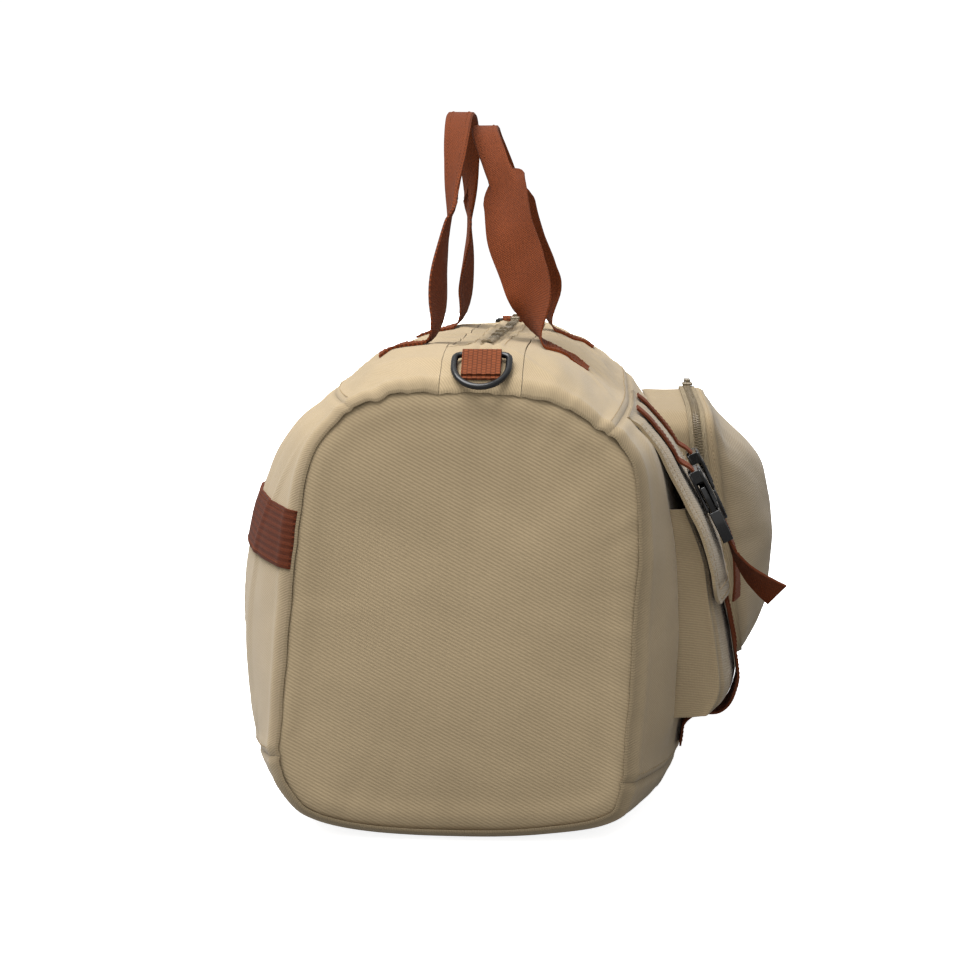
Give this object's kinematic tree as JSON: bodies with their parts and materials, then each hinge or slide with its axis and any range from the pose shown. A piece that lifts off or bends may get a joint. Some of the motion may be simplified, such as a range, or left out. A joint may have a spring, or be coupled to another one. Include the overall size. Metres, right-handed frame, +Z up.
{
  "type": "duffel bag",
  "caption": "Soft canvas duffel bag with carry handles, a zipped top, D-rings at the ends, a buckled flap pocket and a zipped box pocket on the front.",
  "frame": {"origin": "middle of the bounding box's base", "axes": "+X along the bag, -Y the pocketed front, +Z up"},
  "size_m": [0.56, 0.3891, 0.4789],
  "materials": {
    "canvas": "khaki cotton twill, matt, visible diagonal weave",
    "webbing": "rust-brown ribbed webbing, matt",
    "black_plastic": "smooth black moulded plastic",
    "zip": "khaki coil zip",
    "zip_metal": "khaki enamelled zip slider",
    "board": "black stiffener board"
  },
  "bodies": {
    "bag": {"front_panel": "canvas", "bottom_panel": "canvas", "back_panel": "canvas", "top_front_panel": "canvas", "top_back_panel": "canvas", "end_panel_left": "canvas", "end_panel_right": "canvas", "zip_end_left": "canvas", "zip_end_right": "canvas", "base_board": "board", "back_strap": "webbing", "d_ring_tab_left": "webbing", "d_ring_tab_right": "webbing", "handle_tail_back_left": "webbing", "handle_tail_back_right": "webbing", "handle_tail_front_left": "webbing", "handle_tail_front_right": "webbing", "pocket_bag": "canvas", "pocket_strap_left": "webbing", "pocket_strap_right": "webbing", "zip_pocket_gusset": "canvas", "pocket_zip_inner": "zip"},
    "mouth_front": {"lip_front": "canvas", "zip_teeth_front": "zip"},
    "mouth_back": {"lip_back": "canvas", "zip_teeth_back": "zip"},
    "zip_slider": {"main_slider": "zip_metal"},
    "zip_pull": {"main_pull": "zip_metal"},
    "handle_b": {"handle_back": "webbing"},
    "handle_f": {"handle_front": "webbing"},
    "ring_left": {"d_ring_left": "black_plastic"},
    "ring_right": {"d_ring_right": "black_plastic"},
    "flap": {"pocket_flap": "canvas", "flap_strap_left": "webbing", "flap_strap_right": "webbing", "buckle_socket_left": "black_plastic", "buckle_socket_right": "black_plastic"},
    "plug_left": {"buckle_plug_left": "black_plastic", "strap_tail_left": "webbing"},
    "plug_right": {"buckle_plug_right": "black_plastic", "strap_tail_right": "webbing"},
    "box_door": {"zip_pocket_door": "canvas", "pocket_zip_outer": "zip"},
    "box_slider": {"pocket_slider": "zip_metal"},
    "box_pull": {"pocket_pull": "zip_metal"}
  },
  "joints": [
    {"name": "mouth_front_fold", "type": "hinge", "parent": "bag", "child": "mouth_front", "pos_m": [0, -0.0096, 0.313], "axis": [0.9997, 0, -0.0224], "range_deg": [0, 55]},
    {"name": "mouth_back_fold", "type": "hinge", "parent": "bag", "child": "mouth_back", "pos_m": [0, 0.0424, 0.314], "axis": [-0.9997, 0, 0.0227], "range_deg": [0, 55]},
    {"name": "main_zip_slide", "type": "slide", "parent": "bag", "child": "zip_slider", "axis": [-0.9997, 0, 0.0235], "range_m": [0, 0.43]},
    {"name": "main_pull_swing", "type": "hinge", "parent": "zip_slider", "child": "zip_pull", "pos_m": [0.21509, 0.01636, 0.31575], "axis": [0, -1, 0], "range_deg": [0, 120]},
    {"name": "handle_back_fold", "type": "hinge", "parent": "bag", "child": "handle_b", "pos_m": [0, 0.0563, 0.31458], "axis": [-0.9998, 0, 0.0224], "range_deg": [0, 70]},
    {"name": "handle_front_fold", "type": "hinge", "parent": "bag", "child": "handle_f", "pos_m": [0, -0.0156, 0.3137], "axis": [0.9997, 0, -0.0225], "range_deg": [0, 55]},
    {"name": "ring_left_swing", "type": "hinge", "parent": "bag", "child": "ring_left", "pos_m": [-0.2482, 0.01627, 0.3164], "axis": [0, 1, 0], "range_deg": [0, 140]},
    {"name": "ring_right_swing", "type": "hinge", "parent": "bag", "child": "ring_right", "pos_m": [0.246, 0.01628, 0.31002], "axis": [0, -1, 0], "range_deg": [0, 140]},
    {"name": "flap_lift", "type": "hinge", "parent": "bag", "child": "flap", "pos_m": [-0.125, -0.0811, 0.2765], "axis": [-1, 0, 0], "range_deg": [0, 90]},
    {"name": "plug_left_out", "type": "slide", "parent": "flap", "child": "plug_left", "axis": [0, -0.4532, -0.8914], "range_m": [0, 0.028]},
    {"name": "plug_right_out", "type": "slide", "parent": "flap", "child": "plug_right", "axis": [0, -0.433, -0.9014], "range_m": [0, 0.028]},
    {"name": "box_door_open", "type": "hinge", "parent": "bag", "child": "box_door", "pos_m": [0.11, -0.1489, 0.0645], "axis": [1, 0, 0], "range_deg": [0, 80]},
    {"name": "box_zip_slide", "type": "slide", "parent": "box_door", "child": "box_slider", "axis": [-1, 0, 0], "range_m": [0, 0.17]},
    {"name": "box_pull_swing", "type": "hinge", "parent": "box_slider", "child": "box_pull", "pos_m": [0.187, -0.1304, 0.2624], "axis": [0, -1, 0], "range_deg": [0, 120]}
  ],
  "couplings": [
    {"joint": "mouth_back_fold", "follows": "mouth_front_fold", "ratio": 1}
  ]
}
